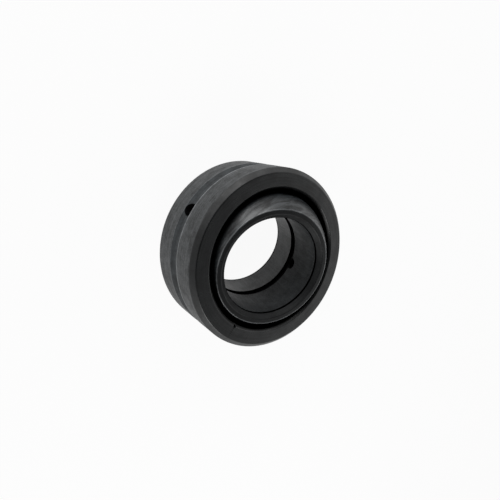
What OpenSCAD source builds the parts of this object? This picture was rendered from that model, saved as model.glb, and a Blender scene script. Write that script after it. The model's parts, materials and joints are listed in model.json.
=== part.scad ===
// Open spherical plain bearing: an inner ring with a ball-shaped outside that turns in a split outer ring.
// Millimetres, +Z up. The origin is the centre of the ball, and the bore runs along Z.

/* [Main sizes] */
// Bore diameter of the inner ring
bore_d = 12; // [8:0.25:13]
// Outside diameter of the outer ring
outside_d = 22; // [20:0.5:30]
// Width of the inner ring, end face to end face
inner_width = 11; // [9.5:0.25:12]
// Width of the outer ring, end face to end face
outer_width = 9; // [7:0.25:10.5]
// How much larger the ball is than the mean of bore and outside
ball_over_mean = 1; // [0.5:0.25:2]
// Radial clearance between the ball and its race
ball_clearance = 0.04; // [0.01:0.01:0.1]

/* [Edges] */
// Leg of the 45 degree chamfer on the outer ring's outside edges
rim_chamfer = 0.55; // [0.2:0.05:1]
// Leg of the 45 degree chamfer at the mouths of the race
mouth_chamfer = 0.7; // [0.3:0.05:1]
// Leg of the 45 degree chamfer at the ends of the bore
bore_chamfer = 0.55; // [0.2:0.05:0.6]
// Leg of the small break where the ball meets the end faces
ball_edge_break = 0.1; // [0.05:0.01:0.2]

/* [Lubrication] */
// Width of the groove round the outside, at its top
rim_groove_width = 1.7; // [1.2:0.1:2.5]
// Width of the groove round the outside, at its floor
rim_groove_floor = 1.1; // [0.6:0.1:1.2]
// Depth of the groove round the outside
rim_groove_depth = 0.45; // [0.2:0.05:0.7]
// Width of the groove round the race
race_groove_width = 1.7; // [1:0.1:2.5]
// Depth of the groove round the race
race_groove_depth = 0.3; // [0.1:0.05:0.5]
// Diameter of the oil holes in the outer ring
rim_hole_d = 1.5; // [1:0.1:2]
// Width of the groove round the bore
bore_groove_width = 1; // [0.6:0.1:2]
// Depth of the groove round the bore
bore_groove_depth = 0.4; // [0.2:0.05:0.8]
// Distance of the bore groove from mid-width, towards the lower end
bore_groove_shift = 0.6; // [0:0.1:1]
// Diameter of the oil holes in the inner ring
bore_hole_d = 1.5; // [0.8:0.1:2]
// Oil holes in each ring, evenly spaced
holes_per_ring = 2; // [1:1:4]

/* [Split] */
// Width of the crack that lets the outer ring open over the ball
split_gap = 0.06; // [0.04:0.01:0.3]
// Diameter of the nick where the crack starts, at each mouth
split_nick = 0.4; // [0.2:0.05:0.8]

/* [Pose and turns] */
// Lean of the outer ring on the ball at rest, about Y, towards -X
rest_tilt = 10; // [0:0.5:12]
// Turn of the first oil hole in the outer ring, from +X
rim_hole_turn = -65; // [-180:1:180]
// Turn of the first oil hole in the inner ring, from +X
bore_hole_turn = 129; // [-180:1:180]
// Turn of the split in the outer ring, from +X
split_turn = 22; // [-180:1:180]

/* [Hidden] */
$fn = 96;
// Overshoot of a cut past the face that it opens
past = 1;

bore_r = bore_d / 2;
outside_r = outside_d / 2;
ball_d = (bore_d + outside_d) / 2 + ball_over_mean;
ball_r = ball_d / 2;
race_r = ball_r + ball_clearance;
inner_half = inner_width / 2;
outer_half = outer_width / 2;
end_face_r = sqrt(pow(ball_r, 2) - pow(inner_half, 2));
// The bore's chamfer takes at most half of the wall at the end face
bore_edge = min(bore_chamfer, (end_face_r - bore_r) / 2);
// Height and radius of the circle where the race meets its mouth chamfer
race_edge_z = outer_half - mouth_chamfer;
race_edge_r = sqrt(pow(race_r, 2) - pow(race_edge_z, 2));
mouth_r = race_edge_r + mouth_chamfer;

// Half of the outer ring's outline, from the axis out, with its chamfers and oil groove
module rim_outline() {
    polygon([
        [0, -outer_half],
        [outside_r - rim_chamfer, -outer_half],
        [outside_r, -outer_half + rim_chamfer],
        [outside_r, -rim_groove_width / 2],
        [outside_r - rim_groove_depth, -rim_groove_floor / 2],
        [outside_r - rim_groove_depth, rim_groove_floor / 2],
        [outside_r, rim_groove_width / 2],
        [outside_r, outer_half - rim_chamfer],
        [outside_r - rim_chamfer, outer_half],
        [0, outer_half]
    ]);
}

// Cut for one mouth chamfer, from inside the race to past the end face
module mouth_cut() {
    polygon([
        [0, race_edge_z - past],
        [race_edge_r - past, race_edge_z - past],
        [mouth_r + past, outer_half + past],
        [0, outer_half + past]
    ]);
}

module outer_section() {
    difference() {
        rim_outline();
        circle(race_r);
        mouth_cut();
        mirror([0, 1]) mouth_cut();
        translate([0, -race_groove_width / 2]) square([race_r + race_groove_depth, race_groove_width]);
    }
}

module inner_section() {
    difference() {
        intersection() {
            circle(ball_r);
            ball_blank();
        }
        bore_cut();
    }
}

// Outline that trims the ball to its end faces, with a small break at their edges
module ball_blank() {
    broken_r = end_face_r - ball_edge_break;
    polygon([
        [0, -inner_half],
        [broken_r, -inner_half],
        [broken_r + inner_half, 0],
        [broken_r, inner_half],
        [0, inner_half]
    ]);
}

// Half outline of the bore with its end chamfers and its oil groove
module bore_cut() {
    groove_low = -bore_groove_shift - bore_groove_width / 2;
    groove_high = -bore_groove_shift + bore_groove_width / 2;
    polygon([
        [0, -inner_half - past],
        [bore_r + bore_edge + past, -inner_half - past],
        [bore_r, -inner_half + bore_edge],
        [bore_r, groove_low],
        [bore_r + bore_groove_depth, groove_low],
        [bore_r + bore_groove_depth, groove_high],
        [bore_r, groove_high],
        [bore_r, inner_half - bore_edge],
        [bore_r + bore_edge + past, inner_half + past],
        [0, inner_half + past]
    ]);
}

// Radial oil holes, from inside the ring to past its outside
module oil_holes(hole_d, first_turn, from_r, to_r) {
    for (i = [0 : holes_per_ring - 1])
        rotate([0, 0, first_turn + i * 360 / holes_per_ring])
            translate([from_r, 0, 0])
                rotate([0, 90, 0])
                    cylinder(d = hole_d, h = to_r - from_r);
}

// Crack through one side of the outer ring, with a round nick at both mouths
module split() {
    rotate([0, 0, split_turn]) {
        translate([race_edge_r - past, -split_gap / 2, -outer_half - past])
            cube([outside_r - race_edge_r + 2 * past, split_gap, outer_width + 2 * past]);
        for (side = [-1, 1])
            translate([mouth_r, 0, side * (outer_half + past - (mouth_chamfer + past) / 2)])
                cylinder(d = split_nick, h = mouth_chamfer + past, center = true);
    }
}

module outer_ring() {
    color("dimgray")
        rotate([0, -rest_tilt, 0])
            difference() {
                rotate_extrude() outer_section();
                oil_holes(rim_hole_d, rim_hole_turn, race_r - past, outside_r + past);
                split();
            }
}

module inner_ring() {
    color("slategray")
        difference() {
            rotate_extrude() inner_section();
            oil_holes(bore_hole_d, bore_hole_turn, bore_r - past, ball_r + past);
        }
}

outer_ring();
inner_ring();
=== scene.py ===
"""An open spherical plain bearing in black phosphated steel, dressed for its picture."""
import json
import math
from collections import namedtuple

import bpy
from bpy.props import FloatProperty, FloatVectorProperty, IntProperty, PointerProperty
from mathutils import Matrix, Quaternion, Vector


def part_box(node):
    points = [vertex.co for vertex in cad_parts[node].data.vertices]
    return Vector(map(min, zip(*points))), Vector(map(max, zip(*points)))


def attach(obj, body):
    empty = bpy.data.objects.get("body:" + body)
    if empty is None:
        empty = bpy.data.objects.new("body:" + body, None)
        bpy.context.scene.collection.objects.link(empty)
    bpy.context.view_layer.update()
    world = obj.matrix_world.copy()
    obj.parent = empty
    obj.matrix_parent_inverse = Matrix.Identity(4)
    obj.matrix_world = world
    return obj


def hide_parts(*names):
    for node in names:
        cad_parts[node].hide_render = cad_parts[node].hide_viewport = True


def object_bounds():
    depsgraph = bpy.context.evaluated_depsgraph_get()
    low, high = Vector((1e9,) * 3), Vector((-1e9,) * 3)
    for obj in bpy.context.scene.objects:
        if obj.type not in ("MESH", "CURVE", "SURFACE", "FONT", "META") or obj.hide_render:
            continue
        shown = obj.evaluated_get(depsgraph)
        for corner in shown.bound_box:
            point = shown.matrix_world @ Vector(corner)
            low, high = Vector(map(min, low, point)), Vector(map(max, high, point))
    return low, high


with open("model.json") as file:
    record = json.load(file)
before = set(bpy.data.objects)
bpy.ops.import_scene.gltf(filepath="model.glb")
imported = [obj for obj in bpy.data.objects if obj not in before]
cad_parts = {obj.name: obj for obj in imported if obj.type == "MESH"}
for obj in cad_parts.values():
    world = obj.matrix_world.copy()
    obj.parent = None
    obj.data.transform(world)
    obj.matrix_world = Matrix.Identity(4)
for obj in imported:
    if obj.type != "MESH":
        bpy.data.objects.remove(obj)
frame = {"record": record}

bl_info = {
    "name": "Spherical plain bearing",
    "version": (1, 0, 0),
    "blender": (4, 5, 0),
    "location": "View3D > Sidebar > Bearing",
    "description": "Builds the two rings of an open spherical plain bearing and a plain studio",
    "category": "Add Mesh",
}

MM = 0.001
CAD_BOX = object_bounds()
MOUNTS = {mount["name"]: mount for mount in frame["record"]["mounts"]}
SEAT_AXIS = Vector(MOUNTS["outer_seat"]["axis"])
BORE_R = MOUNTS["bore"]["dims"]["r_mm"] * MM
OUTER_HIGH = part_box("outer_ring")[1]
INNER_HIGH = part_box("inner_ring")[1]

# Attribute along the edges: up to 1 where the finish is worn to bright steel, with a painted highlight on the
# upper edge of the outer ring's oil groove, and -1 where it is painted black: painted shade at the outer
# ring's mouths, and a black line in the bore beside its chamfers
EDGE_MARK = "edge"
# Widest turn of one step along a rounded edge, and the angle from which an edge stays sharp
ROUND_STEP = math.radians(12)
SHARP_FROM = math.radians(28)
# Distance past a round at which the surface is flat again
FLAT_AFTER = 0.05 * MM
# Overshoot of a cutter past the face that it opens
PAST = 1 * MM
# How far a zone's limit lies from its surface, so that the rounds at its edges keep the ring's own finish
ZONE_SKIN = 0.02 * MM


class BearingSizes(bpy.types.PropertyGroup):
    """Sizes of the two rings"""

    bore_r: FloatProperty(
        name="Bore radius", description="Radius of the inner ring's bore", default=BORE_R, unit="LENGTH")
    outside_r: FloatProperty(
        name="Outside radius", description="Radius of the outer ring's lands",
        default=OUTER_HIGH.y, unit="LENGTH")
    ball_r: FloatProperty(
        name="Ball radius", description="Radius of the inner ring's ball",
        default=INNER_HIGH.x, unit="LENGTH")
    inner_half: FloatProperty(
        name="Inner half width", description="Half of the inner ring's width",
        default=INNER_HIGH.z, unit="LENGTH")
    outer_half: FloatProperty(
        name="Outer half width", description="Half of the outer ring's width",
        default=4.5 * MM, unit="LENGTH")
    clearance: FloatProperty(
        name="Ball clearance", description="Radial gap between ball and race",
        default=0.04 * MM, unit="LENGTH")
    rim_chamfer: FloatProperty(
        name="Rim chamfer", description="Leg of the outside chamfers", default=0.55 * MM, unit="LENGTH")
    mouth_chamfer: FloatProperty(
        name="Mouth chamfer", description="Leg of the chamfers at the race", default=0.7 * MM, unit="LENGTH")
    bore_chamfer: FloatProperty(
        name="Bore chamfer", description="Leg of the chamfers of the bore", default=0.55 * MM, unit="LENGTH")
    # The outside groove is a shallow V with a narrow floor, 0.15 mm shallower than the solid's groove
    rim_groove_w: FloatProperty(
        name="Rim groove width", description="Width of the outside groove at its top",
        default=1.7 * MM, unit="LENGTH")
    rim_groove_floor: FloatProperty(
        name="Rim groove floor", description="Width of the outside groove at its floor",
        default=0.3 * MM, unit="LENGTH")
    rim_groove_depth: FloatProperty(
        name="Rim groove depth", description="Depth of the outside groove", default=0.3 * MM, unit="LENGTH")
    race_groove_w: FloatProperty(
        name="Race groove width", description="Width of the groove in the race",
        default=1.7 * MM, unit="LENGTH")
    race_groove_depth: FloatProperty(
        name="Race groove depth", description="Depth of the groove in the race",
        default=0.3 * MM, unit="LENGTH")
    bore_groove_w: FloatProperty(
        name="Bore groove width", description="Width of the groove in the bore",
        default=1 * MM, unit="LENGTH")
    bore_groove_depth: FloatProperty(
        name="Bore groove depth", description="Depth of the groove in the bore",
        default=0.4 * MM, unit="LENGTH")
    bore_groove_shift: FloatProperty(
        name="Bore groove shift", description="How far the bore groove lies below mid-width",
        default=0.6 * MM, unit="LENGTH")
    rim_hole_r: FloatProperty(
        name="Rim hole radius", description="Radius of the outer ring's oil holes",
        default=0.75 * MM, unit="LENGTH")
    bore_hole_r: FloatProperty(
        name="Bore hole radius", description="Radius of the inner ring's oil holes",
        default=0.75 * MM, unit="LENGTH")
    rim_hole_turn: FloatProperty(
        name="Rim hole turn", description="Turn of the first oil hole in the outer ring",
        default=math.radians(-65), unit="ROTATION")
    bore_hole_turn: FloatProperty(
        name="Bore hole turn", description="Turn of the first oil hole in the inner ring",
        default=math.radians(129), unit="ROTATION")
    holes: IntProperty(name="Oil holes", description="Oil holes in each ring", default=2, min=1)
    split_turn: FloatProperty(
        name="Split turn", description="Turn of the outer ring's split",
        default=math.radians(22), unit="ROTATION")
    split_gap: FloatProperty(
        name="Split gap", description="Width of the crack in the outer ring",
        default=0.06 * MM, unit="LENGTH")
    split_nick_r: FloatProperty(
        name="Split nick radius", description="Radius of the nick where the crack starts",
        default=0.2 * MM, unit="LENGTH")
    lean: FloatProperty(
        name="Lean", description="Lean of the outer ring on the ball at rest",
        default=math.atan2(-SEAT_AXIS.x, SEAT_AXIS.z), unit="ROTATION")
    segments: IntProperty(name="Segments", description="Steps round each ring", default=360, min=32)


def linear(hex_colour):
    """An sRGB hex colour as linear red, green, blue and alpha."""
    parts = [int(hex_colour[i:i + 2], 16) / 255 for i in (1, 3, 5)]
    return [c / 12.92 if c <= 0.04045 else ((c + 0.055) / 1.055) ** 2.4 for c in parts] + [1.0]


class BearingColours(bpy.types.PropertyGroup):
    """Colours of the steel's black finish and of the floor"""

    land_dark: FloatVectorProperty(
        name="Land, dark", description="Dark patches of the ground lands", subtype="COLOR", size=4,
        min=0, max=1, default=linear("#141617"))
    land_light: FloatVectorProperty(
        name="Land, light", description="Light patches of the ground lands", subtype="COLOR", size=4,
        min=0, max=1, default=linear("#383b3d"))
    groove_dark: FloatVectorProperty(
        name="Groove, dark", description="Dark tone of the outside groove", subtype="COLOR", size=4,
        min=0, max=1, default=linear("#191c1e"))
    groove_light: FloatVectorProperty(
        name="Groove, light", description="Light tone of the outside groove", subtype="COLOR", size=4,
        min=0, max=1, default=linear("#2d3235"))
    # The turned tones are darker than the lands' partly for the smoother turned steel, partly as painted
    # shade on the end faces and chamfers
    turned_dark: FloatVectorProperty(
        name="Turned, dark", description="Dark tone of the turned steel", subtype="COLOR", size=4,
        min=0, max=1, default=linear("#0d0e0f"))
    turned_light: FloatVectorProperty(
        name="Turned, light", description="Light tone of the turned steel", subtype="COLOR", size=4,
        min=0, max=1, default=linear("#17191a"))
    ball_dark: FloatVectorProperty(
        name="Ball, dark", description="Dark tone of the ball", subtype="COLOR", size=4,
        min=0, max=1, default=linear("#0d0e0f"))
    ball_light: FloatVectorProperty(
        name="Ball, light", description="Wiped patches of the ball", subtype="COLOR", size=4,
        min=0, max=1, default=linear("#33373a"))
    bore_dark: FloatVectorProperty(
        name="Bore, dark", description="Dark tone of the bore", subtype="COLOR", size=4,
        min=0, max=1, default=linear("#1b1d1e"))
    bore_light: FloatVectorProperty(
        name="Bore, light", description="Light streaks of the bore", subtype="COLOR", size=4,
        min=0, max=1, default=linear("#2d3032"))
    # Old oil, and painted shade in the hollows: the race and its mouths, the oil grooves and the holes
    oiled_and_shaded: FloatVectorProperty(
        name="Oiled steel", description="Race, oil grooves and holes, black with old oil", subtype="COLOR",
        size=4, min=0, max=1, default=linear("#070708"))
    # Worn steel, and also the painted highlight on the upper edge of the outer ring's oil groove
    worn_and_highlit_edge: FloatVectorProperty(
        name="Worn edge", description="Steel that shows where an edge is rubbed", subtype="COLOR", size=4,
        min=0, max=1, default=linear("#a9adb0"))
    floor: FloatVectorProperty(
        name="Floor", description="Colour of the studio floor", subtype="COLOR", size=4,
        min=0, max=1, default=linear("#f8f8f8"))


def add(tree, kind, inputs=None, **settings):
    """Adds a node with its settings. An input is a value, or a socket or node to link from."""
    node = tree.nodes.new(kind)
    for name, value in settings.items():
        setattr(node, name, value)
    for name, value in (inputs or {}).items():
        if isinstance(value, bpy.types.Node):
            tree.links.new(value.outputs[0], node.inputs[name])
        elif isinstance(value, bpy.types.NodeSocket):
            tree.links.new(value, node.inputs[name])
        else:
            node.inputs[name].default_value = value
    return node


# Sections of the rings: corners and points are (r, z, round, mark)

def arc(radius, from_z, to_z, steps):
    """Plain points on a circle round the origin, from one height to another."""
    first, last = math.asin(from_z / radius), math.asin(to_z / radius)
    turns = [first + (last - first) * i / steps for i in range(steps + 1)]
    return [(radius * math.cos(turn), radius * math.sin(turn), 0, 0) for turn in turns]


def corner_at(point, radius, mark=0):
    """The point of an arc as a corner with a round and a mark of its own."""
    return (point[0], point[1], radius, mark)


def rounded(corners):
    """Points along an outline given by its corners, counter-clockwise, each with its edge mark.

    The flats beside a round are unmarked, or take the mark of the plain point next to them.
    """
    marked = []
    for i, (r, z, radius, mark) in enumerate(corners):
        corner = Vector((r, z))
        if radius == 0:
            marked.append((corner, mark))
            continue
        before, after = corners[i - 1], corners[(i + 1) % len(corners)]
        back = (Vector(before[:2]) - corner).normalized()
        on = (Vector(after[:2]) - corner).normalized()
        turn = math.pi - back.angle(on)
        reach = radius * math.tan(turn / 2)
        centre = corner + (back + on).normalized() * radius / math.cos(turn / 2)
        start = corner + back * reach - centre
        side = 1 if back.cross(on) < 0 else -1
        steps = max(2, math.ceil(turn / ROUND_STEP))
        marked.append((corner + back * (reach + FLAT_AFTER), before[3] if before[2] == 0 else 0))
        for step in range(steps + 1):
            spun = Matrix.Rotation(side * turn * step / steps, 2) @ start
            marked.append((centre + spun, mark))
        marked.append((corner + on * (reach + FLAT_AFTER), after[3] if after[2] == 0 else 0))
    return marked


# The race's radius, the circle where it meets its mouth chamfer, and the radius of its mouth
Race = namedtuple("Race", "radius edge_z edge_r mouth_r")


def race_of(sizes):
    """The race that fits round the ball in an outer ring of these sizes."""
    radius = sizes.ball_r + sizes.clearance
    edge_z = sizes.outer_half - sizes.mouth_chamfer
    edge_r = math.sqrt(radius ** 2 - edge_z ** 2)
    return Race(radius, edge_z, edge_r, edge_r + sizes.mouth_chamfer)


def outer_section(sizes):
    """Outline of the outer ring's section: lands, oil groove, chamfers, faces and race."""
    rim_round, face_round, groove_edge, groove_fillet = 0.2 * MM, 0.08 * MM, 0.06 * MM, 0.4 * MM
    # Marks: painted shade, black, that fades in from the mouth; wear on the lower edge of the oil groove; and
    # on its upper edge wear with a painted highlight, stronger and wider
    black_mark, fade_from, fade_to = -1, 0.06 * MM, 0.3 * MM
    lower_wear, upper_wear_and_highlight, wear_and_highlight_width = 0.3, 0.75, 0.12 * MM
    race_steps = 16
    out, half = sizes.outside_r, sizes.outer_half
    race = race_of(sizes)
    mouth_r = race.mouth_r
    groove_r = out - sizes.rim_groove_depth
    oil_z = sizes.race_groove_w / 2
    oil_r = race.radius + sizes.race_groove_depth
    upper = arc(race.radius, race.edge_z, oil_z, race_steps)
    lower = arc(race.radius, -oil_z, -race.edge_z, race_steps)
    return rounded([
        (mouth_r - fade_from, fade_from - half, 0, 0),
        (mouth_r, -half, face_round, 0),
        (out - sizes.rim_chamfer, -half, rim_round, 0),
        (out, -half + sizes.rim_chamfer, rim_round, 0),
        (out, -sizes.rim_groove_w / 2, groove_edge, lower_wear),
        (groove_r, -sizes.rim_groove_floor / 2, groove_fillet, 0),
        (groove_r, sizes.rim_groove_floor / 2, groove_fillet, 0),
        # Painted highlight: the upper edge is marked brighter and wider than the lower one, on top of its
        # wear
        (out, sizes.rim_groove_w / 2, groove_edge, upper_wear_and_highlight),
        (out, sizes.rim_groove_w / 2 + wear_and_highlight_width, 0, upper_wear_and_highlight),
        (out, sizes.rim_groove_w / 2 + wear_and_highlight_width + FLAT_AFTER, 0, 0),
        (out, half - sizes.rim_chamfer, rim_round, 0),
        (out - sizes.rim_chamfer, half, rim_round, 0),
        (mouth_r, half, face_round, 0),
        (mouth_r - fade_from, half - fade_from, 0, 0),
        (mouth_r - fade_to, half - fade_to, 0, black_mark),
        corner_at(upper[0], face_round, black_mark),
        *upper[1:-1],
        corner_at(upper[-1], groove_edge),
        (oil_r, oil_z, groove_edge, 0),
        (oil_r, -oil_z, groove_edge, 0),
        corner_at(lower[0], groove_edge),
        *lower[1:-1],
        corner_at(lower[-1], face_round, black_mark),
        (mouth_r - fade_to, fade_to - half, 0, black_mark),
    ])


def inner_section(sizes):
    """Outline of the inner ring's section: ball, end faces, bore chamfers, bore and oil groove."""
    ball_round, chamfer_round, groove_edge = 0.1 * MM, 0.1 * MM, 0.04 * MM
    # Marks: wear on the edges of the ball, and a black line in the bore beside its chamfers
    ball_wear, black_mark, black_line_width = 0.45, -1, 0.22 * MM
    ball_steps = 64
    bore, half, leg = sizes.bore_r, sizes.inner_half, sizes.bore_chamfer
    groove_r = bore + sizes.bore_groove_depth
    low = -sizes.bore_groove_shift - sizes.bore_groove_w / 2
    high = low + sizes.bore_groove_w
    ball = arc(sizes.ball_r, -half, half, ball_steps)
    mouth_z = half - leg
    black_line_z = mouth_z - black_line_width
    return rounded([
        (bore + leg, -half, chamfer_round, 0),
        corner_at(ball[0], ball_round, ball_wear),
        *ball[1:-1],
        corner_at(ball[-1], ball_round, ball_wear),
        (bore + leg, half, chamfer_round, 0),
        (bore, mouth_z, chamfer_round, black_mark),
        (bore, black_line_z, 0, black_mark),
        (bore, black_line_z - FLAT_AFTER, 0, 0),
        (bore, high, groove_edge, 0),
        (groove_r, high, groove_edge, 0),
        (groove_r, low, groove_edge, 0),
        (bore, low, groove_edge, 0),
        (bore, -black_line_z + FLAT_AFTER, 0, 0),
        (bore, -black_line_z, 0, black_mark),
        (bore, -mouth_z, chamfer_round, black_mark),
    ])


def section_object(name, marked, rail_r):
    """An object whose mesh is a section's outline, drawn from the rail that it is swept along.

    The sweep turns a profile's Y to -Z, so the outline is drawn upside down and the other way round.
    """
    mesh = bpy.data.meshes.new(name)
    marked = marked[::-1]
    count = len(marked)
    mesh.from_pydata(
        [(point.x - rail_r, -point.y, 0) for point, mark in marked],
        [(i, (i + 1) % count) for i in range(count)], [])
    marks = mesh.attributes.new(EDGE_MARK, "FLOAT", "POINT")
    marks.data.foreach_set("value", [mark for point, mark in marked])
    piece = bpy.data.objects.new(name, mesh)
    bpy.context.scene.collection.objects.link(piece)
    return piece


# Node trees of the rings

RING_INPUTS = (
    ("Segments", "NodeSocketInt"), ("Rail radius", "NodeSocketFloat"),
    ("Hole count", "NodeSocketInt"), ("Hole radius", "NodeSocketFloat"), ("Hole length", "NodeSocketFloat"),
    ("Hole middle", "NodeSocketVector"), ("Hole turn", "NodeSocketFloat"),
    ("Hole spacing", "NodeSocketFloat"), ("Lean", "NodeSocketVector"),
)
SPLIT_INPUTS = (
    ("Split gap", "NodeSocketVector"), ("Split length", "NodeSocketFloat"),
    ("Split height", "NodeSocketFloat"), ("Split place", "NodeSocketVector"),
    ("Split turn", "NodeSocketVector"), ("Nick radius", "NodeSocketFloat"),
    ("Nick depth", "NodeSocketFloat"), ("Nick place", "NodeSocketVector"),
    ("Nick spacing", "NodeSocketVector"),
)


def hole_cutters(tree, given):
    """Radial cylinders at even turns round the axis."""
    hole_sides = 64
    drill = add(tree, "GeometryNodeMeshCylinder", {
        "Vertices": hole_sides, "Radius": given["Hole radius"], "Depth": given["Hole length"]})
    laid = add(tree, "GeometryNodeTransform", {
        "Geometry": drill, "Translation": given["Hole middle"], "Rotation": (0, math.pi / 2, 0)})
    turn = add(tree, "ShaderNodeMath", {
        0: add(tree, "GeometryNodeInputIndex"), 1: given["Hole spacing"], 2: given["Hole turn"]},
        operation="MULTIPLY_ADD")
    points = add(tree, "GeometryNodePoints", {"Count": given["Hole count"]})
    placed = add(tree, "GeometryNodeInstanceOnPoints", {
        "Points": points, "Instance": laid, "Rotation": add(tree, "ShaderNodeCombineXYZ", {"Z": turn})})
    return add(tree, "GeometryNodeRealizeInstances", {"Geometry": placed})


def crack_cutter(tree, given):
    """A thin slab that wanders as a crack does."""
    crack_steps = 40
    wander, wander_size, seed = 0.12 * MM, 1.6 * MM, 7.0
    weld = MM / 10000
    sheet = add(tree, "GeometryNodeMeshGrid", {
        "Size X": given["Split length"], "Size Y": given["Split height"],
        "Vertices X": crack_steps, "Vertices Y": crack_steps})
    stood = add(tree, "GeometryNodeTransform", {"Geometry": sheet, "Rotation": (math.pi / 2, 0, 0)})
    noise = add(tree, "ShaderNodeTexNoise", {
        "Vector": add(tree, "GeometryNodeInputPosition"), "W": seed, "Scale": 1 / wander_size, "Detail": 3.0},
        noise_dimensions="4D")
    sway = add(tree, "ShaderNodeMapRange", {"Value": noise, "To Min": -wander, "To Max": wander})
    bent = add(tree, "GeometryNodeSetPosition", {
        "Geometry": stood, "Offset": add(tree, "ShaderNodeCombineXYZ", {"Y": sway})})
    raised = add(tree, "GeometryNodeExtrudeMesh", {
        "Mesh": bent, "Offset": given["Split gap"], "Offset Scale": 1.0, "Individual": False}, mode="FACES")
    both = add(tree, "GeometryNodeJoinGeometry", {"Geometry": raised})
    under = add(tree, "GeometryNodeFlipFaces", {"Mesh": bent})
    tree.links.new(under.outputs[0], both.inputs["Geometry"])
    slab = add(tree, "GeometryNodeMergeByDistance", {"Geometry": both, "Distance": weld})
    return add(tree, "GeometryNodeTransform", {
        "Geometry": slab, "Translation": given["Split place"], "Rotation": given["Split turn"]})


def nick_cutters(tree, given):
    """The round nicks at both mouths, where the crack starts."""
    nick_sides, mouths = 32, 2
    nick = add(tree, "GeometryNodeMeshCylinder", {
        "Vertices": nick_sides, "Radius": given["Nick radius"], "Depth": given["Nick depth"]})
    points = add(tree, "GeometryNodeMeshLine", {
        "Count": mouths, "Start Location": given["Nick place"], "Offset": given["Nick spacing"]})
    placed = add(tree, "GeometryNodeInstanceOnPoints", {"Points": points, "Instance": nick})
    return add(tree, "GeometryNodeRealizeInstances", {"Geometry": placed})


def ring_tree(name, finish, zones, split):
    """A tree that turns a section round Z, cuts its holes and split, leans it and gives each zone its finish.

    A zone is a material and its limits, each a measure of the face's middle, an operation and a value.
    """
    tree = bpy.data.node_groups.new(name, "GeometryNodeTree")
    tree.interface.new_socket("Section", in_out="INPUT", socket_type="NodeSocketGeometry")
    for label, kind in RING_INPUTS + (SPLIT_INPUTS if split else ()):
        tree.interface.new_socket(label, in_out="INPUT", socket_type=kind)
    tree.interface.new_socket("Ring", in_out="OUTPUT", socket_type="NodeSocketGeometry")
    given = add(tree, "NodeGroupInput").outputs
    rail = add(tree, "GeometryNodeCurvePrimitiveCircle", {
        "Resolution": given["Segments"], "Radius": given["Rail radius"]})
    outline = add(tree, "GeometryNodeMeshToCurve", {"Mesh": given["Section"]})
    turned = add(tree, "GeometryNodeCurveToMesh", {"Curve": rail, "Profile Curve": outline})
    cut = add(tree, "GeometryNodeMeshBoolean", {"Mesh 1": turned}, operation="DIFFERENCE", solver="MANIFOLD")
    cutters = [hole_cutters(tree, given)]
    if split:
        cutters += [crack_cutter(tree, given), nick_cutters(tree, given)]
    for cutter in cutters:
        tree.links.new(cutter.outputs[0], cut.inputs["Mesh 2"])
    smooth = add(tree, "GeometryNodeSetShadeSmooth", {"Geometry": cut, "Shade Smooth": True})
    sharp = add(tree, "ShaderNodeMath", {
        0: add(tree, "GeometryNodeInputMeshEdgeAngle"), 1: SHARP_FROM}, operation="GREATER_THAN")
    shaded = add(tree, "GeometryNodeSetShadeSmooth", {
        "Geometry": smooth, "Selection": sharp, "Shade Smooth": False}, domain="EDGE")
    leaned = add(tree, "GeometryNodeTransform", {"Geometry": shaded, "Rotation": given["Lean"]})
    real = add(tree, "GeometryNodeRealizeInstances", {"Geometry": leaned})
    upright = add(tree, "ShaderNodeVectorRotate", {
        "Vector": add(tree, "GeometryNodeInputPosition"), "Rotation": given["Lean"]},
        rotation_type="EULER_XYZ", invert=True)
    spot = add(tree, "ShaderNodeSeparateXYZ", {"Vector": upright})
    flat = add(tree, "ShaderNodeCombineXYZ", {"X": spot.outputs["X"], "Y": spot.outputs["Y"]})
    measures = {
        "radius": add(tree, "ShaderNodeVectorMath", {0: flat}, operation="LENGTH").outputs["Value"],
        "reach": add(tree, "ShaderNodeVectorMath", {0: upright}, operation="LENGTH").outputs["Value"],
        "rise": spot.outputs["Z"],
        "height": add(tree, "ShaderNodeMath", {0: spot.outputs["Z"]}, operation="ABSOLUTE").outputs[0],
    }
    dressed = add(tree, "GeometryNodeSetMaterial", {"Geometry": real, "Material": finish})
    for material, limits in zones:
        inside = 1.0
        for measure, operation, limit in limits:
            test = add(tree, "ShaderNodeMath", {0: measures[measure], 1: limit}, operation=operation)
            inside = add(tree, "ShaderNodeMath", {0: test, 1: inside}, operation="MULTIPLY")
        dressed = add(tree, "GeometryNodeSetMaterial", {
            "Geometry": dressed, "Selection": inside, "Material": material})
    add(tree, "NodeGroupOutput", {"Ring": dressed})
    return tree


def grow(piece, tree, values):
    """Runs the tree on the piece with these values and leaves its result as a plain mesh."""
    modifier = piece.modifiers.new(tree.name, "NODES")
    modifier.node_group = tree
    for item in tree.interface.items_tree:
        if item.in_out == "INPUT" and item.name in values:
            modifier[item.identifier] = values[item.name]
    graph = bpy.context.evaluated_depsgraph_get()
    mesh = bpy.data.meshes.new_from_object(
        piece.evaluated_get(graph), preserve_all_data_layers=True, depsgraph=graph)
    section = piece.data
    piece.modifiers.remove(modifier)
    piece.data = mesh
    mesh.name = piece.name
    bpy.data.meshes.remove(section)
    if not mesh.polygons:
        raise RuntimeError(f"{piece.name} came out empty")


def hole_values(sizes, radius, turn, from_r, to_r):
    """The tree's inputs for the oil holes of one ring, drilled between two radii."""
    return {
        "Hole count": sizes.holes, "Hole radius": radius, "Hole length": to_r - from_r,
        "Hole middle": ((to_r + from_r) / 2, 0.0, 0.0),
        "Hole turn": turn, "Hole spacing": math.tau / sizes.holes,
    }


# Finishes. The crystals of the phosphate are about 0.01 mm, too fine to show, so each grain is drawn coarser.

# Roughness of the dark and the light tone of turned steel, on the faces and on the chamfers
FACE_ROUGH = (0.32, 0.27)
CHAMFER_ROUGH = (0.55, 0.47)


def per_mm(size):
    """Texture scale for a pattern whose features are this many millimetres apart."""
    return 1 / (size * MM)


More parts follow.
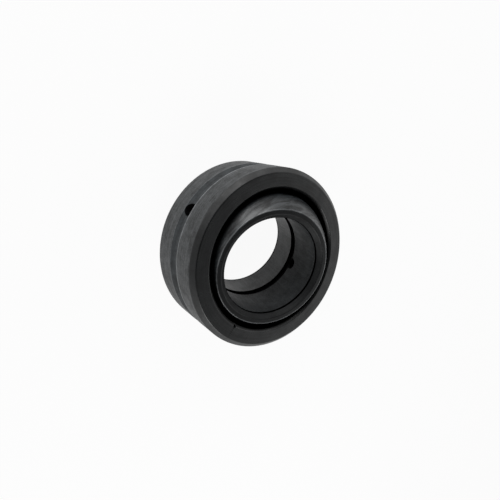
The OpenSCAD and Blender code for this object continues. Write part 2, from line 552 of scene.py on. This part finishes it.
def new_finish(name, lean):
    """A material with its ring's own coordinates, in which Z is the ring's axis."""
    material = bpy.data.materials.new(name)
    material.use_nodes = True
    tree = material.node_tree
    tree.nodes.clear()
    where = add(tree, "ShaderNodeTexCoord")
    own = add(tree, "ShaderNodeMapping", {
        "Vector": where.outputs["Object"], "Rotation": (0, lean, 0)})
    return material, tree, own


def blend_of(tree, weighted):
    """Sum of patterns times their weights, as one value round 0.5."""
    total = 0.0
    for pattern, weight in weighted:
        total = add(tree, "ShaderNodeMath", {0: pattern, 1: weight, 2: total}, operation="MULTIPLY_ADD")
    return total


def close_finish(tree, tone, bump, dark, light, worn_and_highlit, rough, bump_depth, shine, vary=0.12, painted_shade=0.0):
    """Colour and gloss from dark to light by tone, with brightened edges and blackened parts, on a bumped
    black coat.

    rough is the roughness of the dark and the light tone, shine the specular level, and vary how far the tone
    changes it. An edge mark above zero brightens the finish towards worn steel, and on the upper edge of the
    outer ring's oil groove adds a painted highlight. A mark below zero and the painted-shade argument blacken
    it and take
    its gloss away: painted shade at the outer ring's mouths, round its oil holes and on the ball at the race,
    and a black line in the bore beside its chamfers. Phosphate is a mineral coat, so nothing is metallic. A
    brightened edge is too narrow to need it.
    """
    tone_low, tone_high = 0.4, 0.6
    rub_low, rub_most = 0.25, 0.8
    shine_range = (shine * (1 - vary), shine * (1 + vary))
    spread, patchy, matte, clean = [
        add(tree, "ShaderNodeMapRange", {
            "Value": tone, "From Min": tone_low, "From Max": tone_high, "To Min": low, "To Max": high})
        for low, high in ((0.0, 1.0), (rub_low, rub_most), rough, shine_range)]
    # A colour mix takes its share in socket 0 and its colours in 6 and 7, and gives its result in 2
    colour = add(tree, "ShaderNodeMix", {0: spread, 6: dark, 7: light}, data_type="RGBA")
    mark = add(tree, "ShaderNodeAttribute", attribute_name=EDGE_MARK).outputs["Fac"]
    # Brightened towards worn steel where edges are worn, and as a painted highlight on the upper edge of the
    # outer ring's oil groove
    brightened = add(tree, "ShaderNodeMapRange", {"Value": mark, "To Max": patchy})
    # Blackened, without gloss, where shade is painted, and along the black lines in the bore
    lined = add(tree, "ShaderNodeMapRange", {"Value": mark, "From Min": 0.0, "From Max": -1.0})
    blackened = add(tree, "ShaderNodeMath", {0: lined, 1: painted_shade}, operation="MAXIMUM")
    bright = add(tree, "ShaderNodeMix", {0: brightened, 6: colour.outputs[2], 7: worn_and_highlit}, data_type="RGBA")
    shown = add(tree, "ShaderNodeMix", {0: blackened, 6: bright.outputs[2], 7: (0, 0, 0, 1)}, data_type="RGBA")
    gloss = add(tree, "ShaderNodeMapRange", {"Value": blackened, "To Min": clean, "To Max": 0.0})
    raised = add(tree, "ShaderNodeBump", {"Height": bump, "Strength": 1.0, "Distance": bump_depth})
    coat = add(tree, "ShaderNodeBsdfPrincipled", {
        "Base Color": shown.outputs[2], "Roughness": matte, "Normal": raised, "Specular IOR Level": gloss})
    add(tree, "ShaderNodeOutputMaterial", {"Surface": coat})


def ground_land_finish(colours, lean):
    """Black phosphate on ground steel: matte, mottled by its crystals, with faint marks along the turn."""
    cloud_size, grain_size = 0.9, 0.2
    # Grinding marks of about 0.02 mm are drawn 0.25 mm apart, and they run for about 5 mm
    mark_gap, mark_run = 0.25, 5.0
    material, tree, own = new_finish("ground_steel_black_phosphate", lean)
    clouds = add(tree, "ShaderNodeTexNoise", {
        "Vector": own, "Scale": per_mm(cloud_size), "Detail": 4.0, "Roughness": 0.6})
    grain = add(tree, "ShaderNodeTexNoise", {"Vector": own, "Scale": per_mm(grain_size), "Detail": 2.0})
    drawn = add(tree, "ShaderNodeMapping", {
        "Vector": own, "Scale": (mark_gap / mark_run, mark_gap / mark_run, 1)})
    marks = add(tree, "ShaderNodeTexNoise", {"Vector": drawn, "Scale": per_mm(mark_gap), "Detail": 3.0})
    tone = blend_of(tree, ((clouds, 0.35), (grain, 0.27), (marks, 0.38)))
    bump = blend_of(tree, ((grain, 0.5), (marks, 0.5)))
    close_finish(
        tree, tone, bump, colours.land_dark, colours.land_light, colours.worn_and_highlit_edge,
        rough=(0.62, 0.5), bump_depth=0.02 * MM, shine=0.45)
    return material


def grooved_finish(colours, lean, hole_turn, hole_r):
    """Black phosphate in a turned groove: darker and smoother than the lands, with fine rings of the tool."""
    # Feed marks of about 0.05 mm are drawn 0.15 mm apart
    mark_gap, mark_run, cloud_size, grain_size = 0.15, 6.0, 1.2, 0.2
    # How far the painted shade reaches past the rims of the holes
    shade_reach = 0.1 * MM
    material, tree, own = new_finish("grooved_steel_black_phosphate", lean)
    drawn = add(tree, "ShaderNodeMapping", {
        "Vector": own, "Scale": (mark_gap / mark_run, mark_gap / mark_run, 1)})
    marks = add(tree, "ShaderNodeTexNoise", {"Vector": drawn, "Scale": per_mm(mark_gap), "Detail": 2.0})
    clouds = add(tree, "ShaderNodeTexNoise", {"Vector": own, "Scale": per_mm(cloud_size), "Detail": 3.0})
    grain = add(tree, "ShaderNodeTexNoise", {"Vector": own, "Scale": per_mm(grain_size), "Detail": 2.0})
    tone = blend_of(tree, ((marks, 0.3), (clouds, 0.5), (grain, 0.2)))
    bump = blend_of(tree, ((marks, 0.5), (grain, 0.5)))
    # Painted shade darkens the groove round the first hole and the one opposite, on one line through the
    # axis, so that the holes look wider and black
    drilled = add(tree, "ShaderNodeMapping", {"Vector": own, "Rotation": (0, 0, -hole_turn)})
    side = add(tree, "ShaderNodeVectorMath", {0: drilled, 1: (0, 1, 1)}, operation="MULTIPLY")
    off = add(tree, "ShaderNodeVectorMath", {0: side}, operation="LENGTH").outputs["Value"]
    painted_shade = add(tree, "ShaderNodeMapRange", {
        "Value": off, "From Min": hole_r, "From Max": hole_r + shade_reach, "To Min": 1.0, "To Max": 0.0})
    close_finish(
        tree, tone, bump, colours.groove_dark, colours.groove_light, colours.worn_and_highlit_edge,
        rough=(0.55, 0.45), bump_depth=0.008 * MM, shine=0.34, painted_shade=painted_shade)
    return material


def turned_finish(name, colours, lean, rough, shine):
    """Black phosphate on turned steel: dark satin, with fine rings round the axis left by the tool."""
    # Feed marks of about 0.05 mm are drawn 0.16 mm apart
    ring_gap, ring_run, cloud_size, grain_size = 0.16, 6.0, 1.4, 0.2
    share = ring_gap / ring_run
    material, tree, own = new_finish(name, lean)
    spot = add(tree, "ShaderNodeSeparateXYZ", {"Vector": own})
    flat = add(tree, "ShaderNodeCombineXYZ", {"X": spot.outputs["X"], "Y": spot.outputs["Y"]})
    radius = add(tree, "ShaderNodeVectorMath", {0: flat}, operation="LENGTH").outputs["Value"]
    across = add(tree, "ShaderNodeMath", {0: radius, 1: spot.outputs["Z"]}, operation="ADD")
    along = add(tree, "ShaderNodeVectorMath", {0: flat, "Scale": share}, operation="SCALE")
    lifted = add(tree, "ShaderNodeCombineXYZ", {"Z": across})
    ringed = add(tree, "ShaderNodeVectorMath", {0: along, 1: lifted}, operation="ADD")
    rings = add(tree, "ShaderNodeTexNoise", {"Vector": ringed, "Scale": per_mm(ring_gap), "Detail": 2.0})
    clouds = add(tree, "ShaderNodeTexNoise", {"Vector": own, "Scale": per_mm(cloud_size), "Detail": 3.0})
    grain = add(tree, "ShaderNodeTexNoise", {"Vector": own, "Scale": per_mm(grain_size), "Detail": 2.0})
    tone = blend_of(tree, ((rings, 0.4), (clouds, 0.4), (grain, 0.2)))
    bump = blend_of(tree, ((rings, 0.6), (grain, 0.4)))
    close_finish(
        tree, tone, bump, colours.turned_dark, colours.turned_light, colours.worn_and_highlit_edge,
        rough=rough, bump_depth=0.004 * MM, shine=shine)
    return material


def lapped_ball_finish(colours, lean, race_edge):
    """Black phosphate on a lapped ball: smooth satin, wiped to grey streaks, with a black band of painted
    shade at the race's mouths.
    """
    # Streaks where the ball was wiped are about 0.5 mm wide and 3 mm long
    streak_gap, streak_run, cloud_size, grain_size = 0.55, 3.0, 2.2, 0.18
    wipe_turn, wipe_curl = math.radians(25), 0.8
    # Painted shade on the ball: full out to the first distance from the race's edge, gone at the second, and
    # this dark at most
    shade_band_full, shade_band_end, shade_band_most = 0.24 * MM, 0.62 * MM, 0.94
    material, tree, own = new_finish("lapped_steel_black_phosphate", lean)
    wiped = add(tree, "ShaderNodeMapping", {"Vector": own, "Rotation": (wipe_turn, 0, 0)})
    drawn = add(tree, "ShaderNodeMapping", {
        "Vector": wiped, "Scale": (streak_gap / streak_run, streak_gap / streak_run, 1)})
    streaks = add(tree, "ShaderNodeTexNoise", {
        "Vector": drawn, "Scale": per_mm(streak_gap), "Detail": 4.0, "Roughness": 0.6,
        "Distortion": wipe_curl})
    clouds = add(tree, "ShaderNodeTexNoise", {"Vector": own, "Scale": per_mm(cloud_size), "Detail": 3.0})
    grain = add(tree, "ShaderNodeTexNoise", {"Vector": own, "Scale": per_mm(grain_size), "Detail": 2.0})
    tone = blend_of(tree, ((streaks, 0.65), (clouds, 0.2), (grain, 0.15)))
    # A black band of painted shade, for the gap between ball and race, lies on the ball where the mouths of
    # the race stop at rest, and turns with the ball
    height = add(tree, "ShaderNodeSeparateXYZ", {"Vector": own}).outputs["Z"]
    level = add(tree, "ShaderNodeMath", {0: height}, operation="ABSOLUTE")
    past_edge = add(tree, "ShaderNodeMath", {0: level, 1: race_edge}, operation="SUBTRACT")
    off = add(tree, "ShaderNodeMath", {0: past_edge}, operation="ABSOLUTE")
    # The oil value is painted shade: black at the race's edge, fading away from it
    oil = add(tree, "ShaderNodeMapRange", {
        "Value": off, "From Min": shade_band_full, "From Max": shade_band_end, "To Min": shade_band_most, "To Max": 0.0})
    close_finish(
        tree, tone, grain, colours.ball_dark, colours.ball_light, colours.worn_and_highlit_edge,
        rough=(0.42, 0.3), bump_depth=0.008 * MM, shine=0.5, vary=0.3, painted_shade=oil)
    return material


def ground_bore_finish(name, colours, shine):
    """Black phosphate in a ground bore: dark satin, with faint streaks drawn along the bore."""
    # Rub marks of a shaft, finer than 0.1 mm, are drawn 0.3 mm apart
    streak_gap, streak_run, cloud_size, grain_size = 0.3, 4.0, 1.5, 0.18
    material, tree, own = new_finish(name, 0)
    drawn = add(tree, "ShaderNodeMapping", {"Vector": own, "Scale": (1, 1, streak_gap / streak_run)})
    streaks = add(tree, "ShaderNodeTexNoise", {"Vector": drawn, "Scale": per_mm(streak_gap), "Detail": 3.0})
    clouds = add(tree, "ShaderNodeTexNoise", {"Vector": own, "Scale": per_mm(cloud_size), "Detail": 3.0})
    grain = add(tree, "ShaderNodeTexNoise", {"Vector": own, "Scale": per_mm(grain_size), "Detail": 2.0})
    tone = blend_of(tree, ((streaks, 0.25), (clouds, 0.4), (grain, 0.35)))
    bump = blend_of(tree, ((streaks, 0.25), (grain, 0.75)))
    close_finish(
        tree, tone, bump, colours.bore_dark, colours.bore_light, colours.worn_and_highlit_edge,
        rough=(0.5, 0.42), bump_depth=0.01 * MM, shine=shine)
    return material


def oiled_and_shaded_finish(name, colours, lean):
    """Steel under old oil in the race, the oil grooves and the holes, nearly black with a dull wet film; its
    black is also painted shade in these hollows.
    """
    # The film is uneven over about 1 mm, and up to 1.8 times lighter where it is thin
    film_size, grain_size = 1.0, 0.2
    lift = 1.8
    material, tree, own = new_finish(name, lean)
    film = add(tree, "ShaderNodeTexNoise", {"Vector": own, "Scale": per_mm(film_size), "Detail": 3.0})
    grain = add(tree, "ShaderNodeTexNoise", {"Vector": own, "Scale": per_mm(grain_size), "Detail": 2.0})
    tone = blend_of(tree, ((film, 0.7), (grain, 0.3)))
    light = [channel * lift for channel in colours.oiled_and_shaded[:3]] + [1.0]
    close_finish(
        tree, tone, grain, colours.oiled_and_shaded, light, colours.worn_and_highlit_edge,
        rough=(0.6, 0.5), bump_depth=0.005 * MM, shine=0.05)
    return material


# The pieces and the studio

class BEARING_OT_outer_ring(bpy.types.Operator):
    """Builds the split outer ring with its oil groove and holes"""

    bl_idname = "bearing.outer_ring"
    bl_label = "Outer ring"

    def execute(self, context):
        sizes, colours = context.scene.bearing_sizes, context.scene.bearing_colours
        race = race_of(sizes)
        groove_r = sizes.outside_r - sizes.rim_groove_depth
        oil_reach = math.hypot(race.radius + sizes.race_groove_depth, sizes.race_groove_w / 2)
        split_from, split_to = race.edge_r - PAST, sizes.outside_r + PAST
        end_z = sizes.outer_half + PAST
        turn = Matrix.Rotation(sizes.split_turn, 3, "Z")

        turned = turned_finish(
            "turned_outer_steel_black_phosphate", colours, sizes.lean, rough=FACE_ROUGH, shine=0.5)
        chamfered = turned_finish(
            "chamfered_outer_steel_black_phosphate", colours, sizes.lean, rough=CHAMFER_ROUGH, shine=0.53)
        land = ground_land_finish(colours, sizes.lean)
        groove = grooved_finish(colours, sizes.lean, sizes.rim_hole_turn, sizes.rim_hole_r)
        oiled_and_shaded = oiled_and_shaded_finish("oiled_and_shaded_outer_steel", colours, sizes.lean)
        tree = ring_tree("turned_outer_ring", turned, [
            (chamfered, [("radius", "GREATER_THAN", sizes.outside_r - sizes.rim_chamfer + ZONE_SKIN)]),
            (land, [("radius", "GREATER_THAN", sizes.outside_r - ZONE_SKIN)]),
            (groove, [("radius", "GREATER_THAN", groove_r - ZONE_SKIN),
                      ("height", "LESS_THAN", sizes.rim_groove_w / 2 + ZONE_SKIN)]),
            # Old oil, and painted shade: the race with the inner part of its mouths, and then the oil holes
            (oiled_and_shaded, [("reach", "LESS_THAN", oil_reach + ZONE_SKIN)]),
            (oiled_and_shaded, [("radius", "LESS_THAN", groove_r - ZONE_SKIN),
                     ("height", "LESS_THAN", sizes.rim_hole_r + ZONE_SKIN)]),
        ], split=True)
        ring = section_object("outer_ring_steel", outer_section(sizes), sizes.outside_r)
        grow(ring, tree, {
            **hole_values(sizes, sizes.rim_hole_r, sizes.rim_hole_turn, race.radius - PAST,
                          sizes.outside_r + PAST),
            "Segments": sizes.segments, "Rail radius": sizes.outside_r, "Lean": (0.0, -sizes.lean, 0.0),
            "Split gap": (0.0, sizes.split_gap, 0.0), "Split length": split_to - split_from,
            "Split height": 2 * end_z, "Split turn": (0.0, 0.0, sizes.split_turn),
            "Split place": turn @ Vector(((split_from + split_to) / 2, -sizes.split_gap / 2, 0)),
            "Nick radius": sizes.split_nick_r, "Nick depth": 2 * (sizes.mouth_chamfer + PAST),
            "Nick place": turn @ Vector((race.mouth_r, 0, -end_z)), "Nick spacing": (0.0, 0.0, 2 * end_z),
        })
        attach(ring, "outer")
        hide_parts("outer_ring")
        return {"FINISHED"}


class BEARING_OT_inner_ring(bpy.types.Operator):
    """Builds the inner ring with its ball, its bore and its oil groove and holes"""

    bl_idname = "bearing.inner_ring"
    bl_label = "Inner ring"

    def execute(self, context):
        sizes, colours = context.scene.bearing_sizes, context.scene.bearing_colours
        bore_skin_r = sizes.bore_r + ZONE_SKIN
        chamfer_r = sizes.bore_r + sizes.bore_chamfer
        groove_r = sizes.bore_r + sizes.bore_groove_depth
        hole_end_r = sizes.ball_r - sizes.bore_hole_r
        ball = lapped_ball_finish(colours, sizes.lean, race_of(sizes).edge_z)
        face = turned_finish(
            "turned_inner_steel_black_phosphate", colours, 0, rough=FACE_ROUGH, shine=0.5)
        chamfered = turned_finish(
            "chamfered_inner_steel_black_phosphate", colours, 0, rough=CHAMFER_ROUGH, shine=0.25)
        bore = ground_bore_finish("ground_bore_black_phosphate", colours, shine=0.12)
        # The lower half of the bore, towards the floor, takes a glossier copy of the bore finish: a painted
        # sheen for the floor's light
        brightened = ground_bore_finish("lower_bore_painted_sheen_black_phosphate", colours, shine=0.35)
        oiled_and_shaded = oiled_and_shaded_finish("oiled_and_shaded_inner_steel", colours, 0)
        tree = ring_tree("turned_inner_ring", ball, [
            (face, [("height", "GREATER_THAN", sizes.inner_half - ZONE_SKIN)]),
            (chamfered, [("height", "GREATER_THAN", sizes.inner_half - sizes.bore_chamfer),
                         ("radius", "LESS_THAN", chamfer_r - ZONE_SKIN)]),
            (bore, [("radius", "LESS_THAN", bore_skin_r)]),
            (brightened, [("radius", "LESS_THAN", bore_skin_r), ("rise", "LESS_THAN", -sizes.bore_groove_shift)]),
            # Old oil, and painted shade: the bore groove, and then the oil holes
            (oiled_and_shaded, [("radius", "GREATER_THAN", bore_skin_r), ("radius", "LESS_THAN", groove_r + ZONE_SKIN),
                     ("height", "LESS_THAN", sizes.bore_groove_shift + sizes.bore_groove_w)]),
            (oiled_and_shaded, [("radius", "GREATER_THAN", bore_skin_r), ("radius", "LESS_THAN", hole_end_r),
                     ("height", "LESS_THAN", sizes.bore_hole_r + ZONE_SKIN)]),
        ], split=False)
        ring = section_object("inner_ring_steel", inner_section(sizes), sizes.ball_r)
        grow(ring, tree, {
            **hole_values(sizes, sizes.bore_hole_r, sizes.bore_hole_turn, sizes.bore_r - PAST,
                          sizes.ball_r + PAST),
            "Segments": sizes.segments, "Rail radius": sizes.ball_r, "Lean": (0.0, 0.0, 0.0),
        })
        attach(ring, "inner")
        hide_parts("inner_ring")
        return {"FINISHED"}


def towards(azimuth, elevation):
    """Direction at an azimuth from -Y towards +X, and an elevation, in degrees."""
    a, e = math.radians(azimuth), math.radians(elevation)
    return Vector((math.sin(a) * math.cos(e), -math.cos(a) * math.cos(e), math.sin(e)))


def floor_material(colours):
    """Matte white studio floor: nearly even white to the eye, with the object's soft shadow on it."""
    glow_share = 0.94
    material = bpy.data.materials.new("matte_white_floor")
    material.use_nodes = True
    tree = material.node_tree
    tree.nodes.clear()
    path = add(tree, "ShaderNodeLightPath").outputs
    seen = path["Is Camera Ray"]
    for ray in ("Is Glossy Ray", "Is Transmission Ray"):
        seen = add(tree, "ShaderNodeMath", {0: seen, 1: path[ray]}, operation="MAXIMUM")
    share = add(tree, "ShaderNodeMath", {0: seen, 1: glow_share}, operation="MULTIPLY")
    paper = add(tree, "ShaderNodeBsdfDiffuse", {"Color": colours.floor})
    glow = add(tree, "ShaderNodeEmission", {"Color": (1, 1, 1, 1), "Strength": 1.0})
    mixed = add(tree, "ShaderNodeMixShader", {0: share, 1: paper, 2: glow})
    add(tree, "ShaderNodeOutputMaterial", {"Surface": mixed})
    return material


def studio_world():
    """White walls all round, and a dark patch of ceiling over the object."""
    # Degrees: where the middle of the dark patch is, and how far its edge and its darkest part are from there
    patch_azimuth, patch_elevation, patch_edge, patch_core = 42, 57, 90, 66
    patch_level = 0.03
    # Elevations between which the walls fade out, in degrees
    wall_top, wall_end = 22, 37
    world = bpy.data.worlds.new("studio")
    world.use_nodes = True
    tree = world.node_tree
    tree.nodes.clear()
    way = add(tree, "ShaderNodeTexCoord").outputs["Generated"]
    patch_way = towards(patch_azimuth, patch_elevation)
    near = add(tree, "ShaderNodeVectorMath", {0: way, 1: patch_way}, operation="DOT_PRODUCT").outputs["Value"]
    ceiling = add(tree, "ShaderNodeMapRange", {
        "Value": near, "From Min": math.cos(math.radians(patch_edge)),
        "From Max": math.cos(math.radians(patch_core)), "To Min": 1.0, "To Max": patch_level})
    height = add(tree, "ShaderNodeSeparateXYZ", {"Vector": way}).outputs["Z"]
    wall = add(tree, "ShaderNodeMapRange", {
        "Value": height, "From Min": math.sin(math.radians(wall_top)),
        "From Max": math.sin(math.radians(wall_end)), "To Min": 1.0, "To Max": 0.0})
    bright = add(tree, "ShaderNodeMath", {0: ceiling, 1: wall}, operation="MAXIMUM")
    sky = add(tree, "ShaderNodeBackground", {"Color": (1, 1, 1, 1), "Strength": bright})
    add(tree, "ShaderNodeOutputWorld", {"Surface": sky})
    return world


def soft_lamp(name, azimuth, elevation, distance, width, height, level):
    """A soft box that faces the object. At level 1 a white card at the object looks white."""
    data = bpy.data.lights.new(name, "AREA")
    data.shape = "RECTANGLE"
    data.size, data.size_y = width, height
    data.energy = level * (math.pi * distance) ** 2
    lamp = bpy.data.objects.new(name, data)
    way = towards(azimuth, elevation)
    lamp.location = way * distance
    lamp.rotation_mode = "QUATERNION"
    lamp.rotation_quaternion = way.to_track_quat("Z", "Y")
    lamp.visible_camera = False
    bpy.context.scene.collection.objects.link(lamp)


class BEARING_OT_stage(bpy.types.Operator):
    """Builds the floor, the soft light and the camera"""

    bl_idname = "bearing.stage"
    bl_label = "Studio"

    def execute(self, context):
        scene = context.scene
        floor_reach = 600 * MM
        floor_z = CAD_BOX[0].z
        mesh = bpy.data.meshes.new("floor")
        sides = [(-1, -1), (1, -1), (1, 1), (-1, 1)]
        corners = [(x * floor_reach, y * floor_reach, floor_z) for x, y in sides]
        mesh.from_pydata(corners, [], [(0, 1, 2, 3)])
        mesh.materials.append(floor_material(scene.bearing_colours))
        floor = bpy.data.objects.new("floor", mesh)
        scene.collection.objects.link(floor)

        # The photo's view: the camera looks down past the leaning rings, rolled about its own line of sight
        azimuth, elevation, roll = 19.535, 56.953, math.radians(129.972)
        distance, lens, sensor = 53.78 * MM, 30.654, 36.0
        aim = Vector((0.283, -0.399, -0.306)) * MM
        data = bpy.data.cameras.new("camera")
        data.lens, data.sensor_width = lens, sensor
        data.clip_start, data.clip_end = 1 * MM, 10.0
        camera = bpy.data.objects.new("camera", data)
        way = towards(azimuth, elevation)
        camera.location = aim + way * distance
        camera.rotation_mode = "QUATERNION"
        camera.rotation_quaternion = way.to_track_quat("Z", "Y") @ Quaternion((0, 0, 1), roll)
        scene.collection.objects.link(camera)
        scene.camera = camera
        scene.world = studio_world()
        soft_lamp(
            "key", azimuth=-22, elevation=18, distance=130 * MM, width=110 * MM, height=85 * MM, level=0.5)
        soft_lamp(
            "side", azimuth=137, elevation=40, distance=130 * MM, width=60 * MM, height=60 * MM, level=0.3)
        scene.view_settings.view_transform = "Standard"
        return {"FINISHED"}


class VIEW3D_PT_bearing(bpy.types.Panel):
    """Lists the bearing's sizes, colours and pieces"""

    bl_label = "Bearing"
    bl_space_type = "VIEW_3D"
    bl_region_type = "UI"
    bl_category = "Bearing"

    def draw(self, context):
        for operator in OPERATORS:
            self.layout.operator(operator.bl_idname)
        for group in (context.scene.bearing_sizes, context.scene.bearing_colours):
            box = self.layout.box()
            for name in group.__annotations__:
                box.prop(group, name)


OPERATORS = (BEARING_OT_outer_ring, BEARING_OT_inner_ring, BEARING_OT_stage)
CLASSES = (BearingSizes, BearingColours, *OPERATORS, VIEW3D_PT_bearing)


def register():
    for cls in CLASSES:
        bpy.utils.register_class(cls)
    bpy.types.Scene.bearing_sizes = PointerProperty(type=BearingSizes)
    bpy.types.Scene.bearing_colours = PointerProperty(type=BearingColours)


def unregister():
    del bpy.types.Scene.bearing_colours
    del bpy.types.Scene.bearing_sizes
    for cls in reversed(CLASSES):
        bpy.utils.unregister_class(cls)


def main():
    register()
    bpy.ops.bearing.outer_ring()
    bpy.ops.bearing.inner_ring()
    bpy.ops.bearing.stage()


if __name__ == "__main__":
    main()
